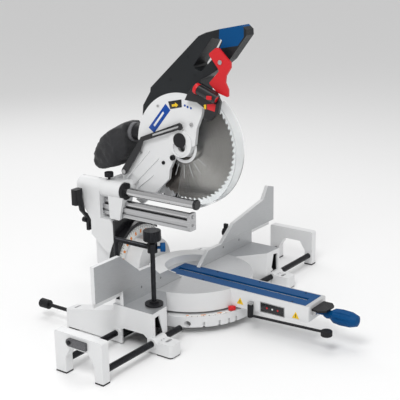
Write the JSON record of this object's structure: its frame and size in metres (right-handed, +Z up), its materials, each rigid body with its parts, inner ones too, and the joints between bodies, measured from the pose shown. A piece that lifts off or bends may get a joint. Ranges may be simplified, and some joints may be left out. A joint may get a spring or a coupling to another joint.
{
  "type": "mitre saw",
  "caption": "Sliding compound mitre saw with a turntable, tilting slide rails, chopping head, clear blade guard, tall fences, side clamp and pull-out extension supports.",
  "frame": {"origin": "on the ground, at the centre of the four bench bolt slots", "axes": "+Z up, +X to the right of someone using the saw, -Y towards them; X = 0 is the plane of the blade"},
  "size_m": [1.036, 0.874, 0.808],
  "materials": {
    "white_paint": "satin white paint on die-cast aluminium",
    "bare_cast": "machined and brushed",
    "grey_cast": "matte grey",
    "blue_plastic": "moulded blue",
    "black_plastic": "fine texture",
    "dark_plastic": "fine texture",
    "red_plastic": "moulded red",
    "black_steel": "blackened",
    "rubber_black": "matte",
    "chrome_rail": "polished",
    "zinc_steel": "zinc plated",
    "blade_steel": "ground",
    "clear_guard": "clear polycarbonate",
    "scale_plate": "printed plate",
    "bag_cloth": "coarse black weave"
  },
  "bodies": {
    "base": {"base_casting": "white_paint", "rubber_feet": "rubber_black", "turntable_bolt": "zinc_steel", "fixed_fence": "bare_cast"},
    "table": {"turntable": "white_paint", "kerf_strip": "blue_plastic", "bevel_scale": "scale_plate", "bevel_pivot_pin": "zinc_steel", "arm_pins": "zinc_steel"},
    "mitre_knob": {"mitre_grip": "blue_plastic"},
    "detent": {"detent_paddle": "dark_plastic"},
    "lever_under_arm": {"arm_lever": "black_plastic"},
    "left_fence": {"left_sliding_fence": "bare_cast"},
    "right_fence": {"right_sliding_fence": "bare_cast"},
    "left_lock": {"left_fence_lock": "black_plastic"},
    "right_lock": {"right_fence_lock": "black_plastic"},
    "bevel_column": {"column": "white_paint", "bevel_quadrant": "black_plastic", "upper_rail": "chrome_rail", "lower_rail": "chrome_rail", "rail_beam": "grey_cast", "rail_ends": "black_plastic"},
    "bevel_lever": {"bevel_lock_lever": "black_plastic"},
    "slide_carriage": {"carriage": "white_paint", "rail_bushes": "black_plastic", "chop_pivot_pin": "zinc_steel"},
    "rail_knob": {"rail_lock_knob": "black_plastic"},
    "head": {"head_casting": "white_paint", "arbor_bearing": "zinc_steel", "arbor_cover": "black_plastic", "motor_housing": "dark_plastic", "motor_end_cap": "black_plastic", "motor_core": "zinc_steel", "handle_left": "dark_plastic", "handle_right": "dark_plastic", "grip_sleeve": "blue_plastic", "guard_pins": "zinc_steel", "laser_unit": "black_plastic", "dust_chute": "black_plastic", "dust_bag": "bag_cloth"},
    "trigger_switch": {"trigger": "black_plastic"},
    "lock_off": {"lock_off_button": "red_plastic"},
    "guard_thumb_lever": {"guard_lever": "red_plastic"},
    "laser_switch": {"laser_button": "red_plastic"},
    "spindle": {"saw_blade": "blade_steel", "arbor": "zinc_steel", "blade_flanges": "zinc_steel"},
    "moving_guard": {"lower_guard": "clear_guard"},
    "guard_link_arm": {"guard_link": "black_plastic"},
    "clamp": {"clamp_bar": "black_steel"},
    "clamp_spindle": {"clamp_screw": "black_steel", "clamp_pad": "black_plastic"},
    "clamp_knob": {"clamp_lock_knob": "blue_plastic"},
    "rear_screw": {"rear_thumbscrew": "black_plastic"},
    "left_support": {"left_support_stand": "white_paint", "left_support_rods": "black_steel"},
    "right_support": {"right_support_stand": "white_paint", "right_support_rods": "black_steel"},
    "left_stop": {"left_length_stop": "zinc_steel"},
    "right_stop": {"right_length_stop": "zinc_steel"}
  },
  "joints": [
    {"name": "mitre", "type": "hinge", "parent": "base", "child": "table", "pos_m": [0, -0.028, 0.05], "axis": [0, 0, -1], "range_deg": [-47, 47]},
    {"name": "bevel", "type": "hinge", "parent": "table", "child": "bevel_column", "pos_m": [0, 0.172, 0.11], "axis": [0, -1, 0], "range_deg": [0, 33.9]},
    {"name": "carriage_slide", "type": "slide", "parent": "bevel_column", "child": "slide_carriage", "axis": [0, 1, 0], "range_m": [-0.215, 0]},
    {"name": "chop", "type": "hinge", "parent": "slide_carriage", "child": "head", "pos_m": [0, 0.172, 0.335], "axis": [-1, 0, 0], "range_deg": [-55.2, 0], "stiffness_Nm_per_rad": 20, "springref_deg": 45.84},
    {"name": "blade_spin", "type": "hinge", "parent": "head", "child": "spindle", "pos_m": [0, -0.019, 0.4725], "axis": [1, 0, 0], "continuous": true},
    {"name": "guard_swing", "type": "hinge", "parent": "head", "child": "moving_guard", "pos_m": [0, -0.019, 0.4725], "axis": [1, 0, 0], "range_deg": [-104, 0]},
    {"name": "guard_link_swing", "type": "hinge", "parent": "head", "child": "guard_link_arm", "pos_m": [-0.043, 0.176, 0.382], "axis": [1, 0, 0], "range_deg": [-4, 0]},
    {"name": "left_fence_slide", "type": "slide", "parent": "base", "child": "left_fence", "axis": [1, 0, 0], "range_m": [0, 0.08]},
    {"name": "right_fence_slide", "type": "slide", "parent": "base", "child": "right_fence", "axis": [1, 0, 0], "range_m": [-0.1, 0]},
    {"name": "left_fence_lock_turn", "type": "hinge", "parent": "left_fence", "child": "left_lock", "pos_m": [-0.222, -0.008, 0.158], "axis": [0, 1, 0], "range_deg": [0, 90]},
    {"name": "right_fence_lock_turn", "type": "hinge", "parent": "right_fence", "child": "right_lock", "pos_m": [0.222, -0.008, 0.158], "axis": [0, 1, 0], "range_deg": [0, 90]},
    {"name": "clamp_swing", "type": "hinge", "parent": "base", "child": "clamp", "pos_m": [-0.292, -0.003, 0.11], "axis": [0, 0, -1], "range_deg": [0, 80]},
    {"name": "clamp_screw_travel", "type": "slide", "parent": "clamp", "child": "clamp_spindle", "axis": [0, 0, 1], "range_m": [0, 0.06]},
    {"name": "clamp_knob_turn", "type": "hinge", "parent": "clamp", "child": "clamp_knob", "pos_m": [-0.252, -0.089, 0.266], "axis": [0.6606, -0.7507, 0], "range_deg": [0, 180]},
    {"name": "left_support_slide", "type": "slide", "parent": "base", "child": "left_support", "axis": [-1, 0, 0], "range_m": [-0.15, 0.06]},
    {"name": "right_support_slide", "type": "slide", "parent": "base", "child": "right_support", "axis": [1, 0, 0], "range_m": [-0.15, 0.06]},
    {"name": "left_stop_flip", "type": "hinge", "parent": "left_support", "child": "left_stop", "pos_m": [-0.512, -0.036, 0.091], "axis": [-1, 0, 0], "range_deg": [0, 90]},
    {"name": "right_stop_flip", "type": "hinge", "parent": "right_support", "child": "right_stop", "pos_m": [0.512, -0.036, 0.091], "axis": [-1, 0, 0], "range_deg": [0, 90]},
    {"name": "rail_knob_turn", "type": "hinge", "parent": "slide_carriage", "child": "rail_knob", "pos_m": [-0.062, 0.218, 0.36], "axis": [0, 0, 1], "range_deg": [0, 180]},
    {"name": "bevel_lever_swing", "type": "hinge", "parent": "bevel_column", "child": "bevel_lever", "pos_m": [-0.072, 0.282, 0.206], "axis": [0, -1, 0], "range_deg": [0, 40]},
    {"name": "mitre_knob_turn", "type": "hinge", "parent": "table", "child": "mitre_knob", "pos_m": [0, -0.448, 0.083], "axis": [0, 1, 0], "range_deg": [0, 180]},
    {"name": "detent_press", "type": "hinge", "parent": "table", "child": "detent", "pos_m": [0, -0.4345, 0.093], "axis": [1, 0, 0], "range_deg": [0, 4], "stiffness_Nm_per_rad": 1.5, "springref_deg": -5.73},
    {"name": "arm_lever_swing", "type": "hinge", "parent": "table", "child": "lever_under_arm", "pos_m": [-0.054, -0.256, 0.05], "axis": [0, 0, -1], "range_deg": [0, 15]},
    {"name": "guard_lever_squeeze", "type": "hinge", "parent": "head", "child": "guard_thumb_lever", "pos_m": [-0.037, -0.156, 0.714], "axis": [-1, 0, 0], "range_deg": [0, 15], "stiffness_Nm_per_rad": 0.3, "springref_deg": -17.19},
    {"name": "trigger_pull", "type": "slide", "parent": "head", "child": "trigger_switch", "axis": [0, -0.8051, -0.5931], "range_m": [0, 0.005], "stiffness_N_per_m": 800, "springref_m": -0.002},
    {"name": "lock_off_press", "type": "slide", "parent": "head", "child": "lock_off", "axis": [0, -0.6712, -0.7413], "range_m": [0, 0.003], "stiffness_N_per_m": 800, "springref_m": -0.001},
    {"name": "laser_press", "type": "slide", "parent": "head", "child": "laser_switch", "axis": [1, 0, 0], "range_m": [0, 0.001], "stiffness_N_per_m": 800, "springref_m": -0.001},
    {"name": "rear_screw_turn", "type": "hinge", "parent": "base", "child": "rear_screw", "pos_m": [-0.288, 0.272, 0.042], "axis": [0, 1, 0], "range_deg": [0, 180]}
  ],
  "couplings": [
    {"joint": "guard_swing", "follows": "chop", "ratio": 1.8841},
    {"joint": "guard_link_swing", "follows": "chop", "ratio": 0.07}
  ]
}
